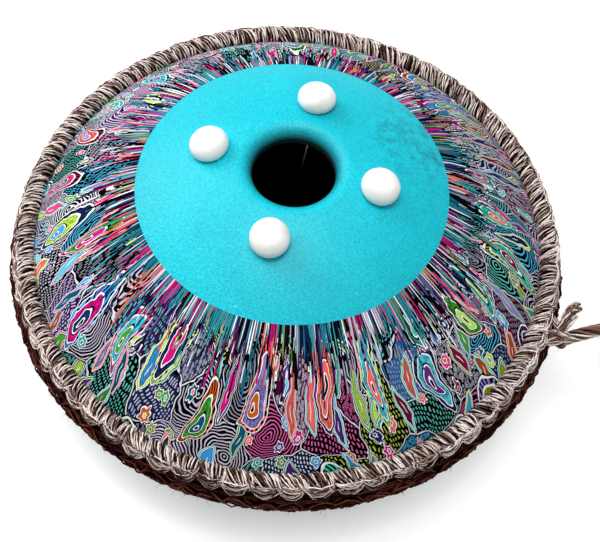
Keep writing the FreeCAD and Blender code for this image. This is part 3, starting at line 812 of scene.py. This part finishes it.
def carriedFrame(line):
    # a normal and a side at each point of the line, as level as the line allows
    along = np.gradient(line, axis=0)
    along /= np.linalg.norm(along, axis=1, keepdims=True)
    normal = np.empty_like(along)
    last = np.array([0.0, 0.0, 1.0])
    for i, direction in enumerate(along):
        last = last - last.dot(direction) * direction
        last /= np.linalg.norm(last)
        normal[i] = last
    return normal, np.cross(along, normal)


def heldNear(places, line, limit):
    # pulls every place that is further than limit from the line's nearest point back to that distance
    flat = places.reshape(-1, 3)
    away = flat[:, None] - line[None]
    nearest = np.linalg.norm(away, axis=2).argmin(1)
    offset = flat - line[nearest]
    far = np.linalg.norm(offset, axis=1, keepdims=True)
    return (line[nearest] + offset * np.minimum(1, limit / np.maximum(far, 1e-9))).reshape(places.shape)


def yarnBundle(line, radius, counts, turns, fray, hairs, limit, rng):
    # yarns wind round the line in two layers: at share s of its length, yarn k stands at angle
    # 2 pi (k / n + turns * s), at its layer's radius, which opens by fray towards the loose end
    normal, side = carriedFrame(line)
    yarn = radius * np.pi / (counts[0] + np.pi) * 1.12
    s = np.linspace(0, 1, len(line))
    paths, outward, tones = [], [], []
    # the inner layer's tone is 0.5 lower: painted shade under the outer yarns
    for count, layer, shade in ((counts[0], radius - yarn, 0.0), (counts[1], radius - 2.9 * yarn, -0.5)):
        k = np.arange(count)[:, None]
        angle = 2 * np.pi * (k / count + turns * s[None])
        angle = angle + 0.30 * smoothNoise(rng, (count, len(s)), 0.3)
        arm = np.cos(angle)[..., None] * normal[None] + np.sin(angle)[..., None] * side[None]
        wander = 1 + 0.14 * smoothNoise(rng, (count, len(s)), 0.25)
        opened = wander + fray * rng.uniform(0.3, 1.3, (count, 1)) * np.clip(s[None] - 0.45, 0, 1) ** 1.5 * 3
        slack = rng.normal(size=(count, 1, 3)) * (fray * 0.35 * radius * (s ** 2)[None, :, None])
        paths.append(line[None] + arm * (layer * opened)[..., None] + slack)
        outward.append(arm)
        tones.append(rng.uniform(0.0, 0.9, count) + shade)
    paths, outward, tones = np.concatenate(paths), np.concatenate(outward), np.concatenate(tones)
    paths = heldNear(paths, line, limit - 0.0002 - yarn)
    radii = np.full(paths.shape[:2], yarn) * rng.uniform(0.85, 1.1, (len(paths), 1))
    strands = tubes(paths, radii, outward, tones)
    stray = hairPaths(rng, paths.reshape(-1, 3), outward.reshape(-1, 3), hairs, 0.009)
    stray = heldNear(stray, line, limit)
    return joined(strands, hairTubes(rng, stray, 1.4, 1.0))


def tail(name, look, replaced):
    rng = np.random.default_rng(look["seed"])
    line, length = centreLine(look["route"])
    radius = look["diameter"] * mm / 2
    points, quads, tone = yarnBundle(line, radius * look["full"], look["yarns"], look["turns"],
                                     look["fray"], look["hairs"], 1.3 * radius + 0.0015, rng)
    points[:, 2] = np.maximum(points[:, 2], floorGap)
    return addPiece(name, points, quads, tone, paleCord, replaced), line, length


def knot(name, look):
    # a trefoil (sin t + 2 sin 2t, cos t - 2 cos 2t, -sin 3t), flattened and tilted, of twisted yarns, round
    # the middle of the node's box. Brush yarns fan out of it: each set goes from a place to a place in mm,
    # with a count of yarns and how far they scatter at either end.
    rng = np.random.default_rng(look["seed"])
    low, high = nodeCorners(look["node"])
    t = np.linspace(0, 2 * np.pi, 73)
    loop = np.stack([np.sin(t) + 2 * np.sin(2 * t), np.cos(t) - 2 * np.cos(2 * t),
                     -look["flat"] * np.sin(3 * t)], -1)
    leanX, leanZ = (math.radians(degrees) for degrees in look["tilt"])
    lean = Matrix.Rotation(leanX, 3, "X") @ Matrix.Rotation(leanZ, 3, "Z")
    line = (low + high) / 2 + look["size"] * loop @ np.array(lean).T
    parts = [yarnBundle(line, look["rope"], (9, 4), 4.0, 0.0, 90, 3 * look["rope"], rng)]
    s = np.linspace(0, 1, 14)
    for start, end, count, spread in look["brush"]:
        root = np.array(start) * mm + rng.normal(size=(count, 1, 3)) * spread[0] * mm
        to = np.array(end) * mm + rng.normal(size=(count, 1, 3)) * spread[1] * mm
        bend = rng.normal(size=(count, 1, 3)) * spread[1] * 0.5 * mm
        paths = root * (1 - s)[None, :, None] + to * s[None, :, None]
        paths = paths + bend * np.sin(np.pi * s)[None, :, None]
        radii = look["brushRadius"] * np.linspace(1.0, 0.8, len(s)) * rng.uniform(0.7, 1.1, (count, 1))
        # the brush yarns' painted light falls from above
        up = np.broadcast_to(np.array([0.1, 0.2, 0.97]), paths.shape)
        parts.append(tubes(paths, radii, up, rng.uniform(0.0, 1.0, count)))
    points, quads, tone = joined(*parts)
    points[:, 2] = np.maximum(points[:, 2], floorGap)
    return addPiece(name, points, quads, tone, paleCord, look["node"])


# the brushes are yarns that run off the rim into the knot, and on to the tails
tieLook = {"node": "tie_knot", "size": 0.0027, "flat": 0.9, "tilt": (65, 20), "rope": 0.0029, "seed": 31,
           "brushRadius": 0.00062,
           "brush": [((256, -47, 119), (276, -34, 113), 18, (1.6, 1.8)),
                     ((259, -18, 118), (272, -33, 115), 16, (2.2, 1.8)),
                     ((262, -24, 118), (271, -30, 119), 14, (2.4, 2.4)),
                     ((267, -33, 122), (281, -10, 119), 9, (1.5, 2.6))]}
endLook = {"node": "long_tail_knot", "size": 0.0021, "flat": 1.1, "tilt": (20, 40), "rope": 0.0030,
           "seed": 32, "brushRadius": 0.00062, "brush": [((336, 104, 8), (354, 117, 4), 22, (1.6, 3.2))]}
longPiece, longLine, longLength = tail("longTail", longTail, "long_tail")
shortPiece, shortLine, shortLength = tail("shortTail", shortTail, "short_tail")
tieKnot = knot("tieKnot", tieLook)
endKnot = knot("endKnot", endLook)
print("stage: tails", round(longLength, 4), round(shortLength, 4))


# feet, each on its disc of adhesive
for place in ("right", "back", "left", "front"):
    dressNode(f"{place}_foot", silicone)
    dressNode(f"{place}_foot_pad", adhesive)
print("stage: feet")


# floor and light
def addStage():
    # pale floor with a painted shadow, near black within 0.165 m of the axis so that it doesn't shine through
    # the port, and near white where the camera or a reflection sees it beyond the drum
    size = 4.0
    mesh = bpy.data.meshes.new("floor")
    corners = [(-size, -size, 0), (size, -size, 0), (size, size, 0), (-size, size, 0)]
    mesh.from_pydata(corners, [], [(0, 1, 2, 3)])
    floor = bpy.data.objects.new("floor", mesh)
    bpy.context.collection.objects.link(floor)
    material, node, place = newMaterial("paleFloor")
    away = node("VectorMath:LENGTH", {0: place}, 1)
    # painted shadow: near black out to 0.165 m from the axis, pale from 0.235 m
    colour = node("ValToRGB", {"Fac": away}, stops=[(0.165, "#161616", "LINEAR"), (0.235, "#c4c4c4")])
    paint = node("BsdfPrincipled", {"Base Color": colour, "Roughness": 0.9, "Specular IOR Level": 0.0})
    ray = node("LightPath")
    seen = node("Math:MAXIMUM", {0: ray, 1: ray.node.outputs["Is Glossy Ray"]})
    seen = node("Math:MAXIMUM", {0: seen, 1: ray.node.outputs["Is Transmission Ray"]})
    # the glow to the camera is left off under the drum, as part of the painted shadow
    clear = node("MapRange", {"Value": away, 1: 0.19, 2: 0.27, 3: 0.0, 4: 0.66})
    glow = node("Math:MULTIPLY", {0: seen, 1: clear})
    shine = node("Emission", {"Strength": glow})
    both = node("AddShader", {0: paint, 1: shine})
    node("OutputMaterial", {"Surface": both})
    mesh.materials.append(material)


def addLight():
    # soft sky, brighter overhead and white to the camera, and two broad lamps, on the left and overhead
    world = bpy.data.worlds.new("world")
    world.use_nodes = True
    bpy.context.scene.world = world
    tree = world.node_tree
    node = partial(addNode, tree)
    heading = node("TexCoord", output=0)
    height = node("SeparateXYZ", {0: heading}).node.outputs[2]
    sky = node("MapRange", {"Value": height, 1: 0.0, 2: 0.75, 3: 0.20, 4: 0.60})
    ray = node("LightPath")
    level = node("Mix", {0: ray, 2: sky, 3: 1.0})
    tree.links.new(level, tree.nodes["Background"].inputs["Strength"])
    tree.nodes["Background"].inputs["Color"].default_value = linear("#ffffff")
    for name, place, size, power in (("sideLamp", (-1.50, 0.55, 1.3), 1.3, 24.0),
                                     ("topLamp", (-0.1, 0.0, 2.1), 1.0, 21.0)):
        data = bpy.data.lights.new(name, "AREA")
        data.shape = "DISK"
        data.size = size
        data.energy = power
        lamp = bpy.data.objects.new(name, data)
        lamp.location = place
        lamp.rotation_euler = (Vector((0, 0, 0.1)) - Vector(place)).to_track_quat("-Z", "Y").to_euler()
        bpy.context.collection.objects.link(lamp)


addStage()
addLight()
bpy.context.scene.view_settings.view_transform = "Standard"
print("stage: floor and light")
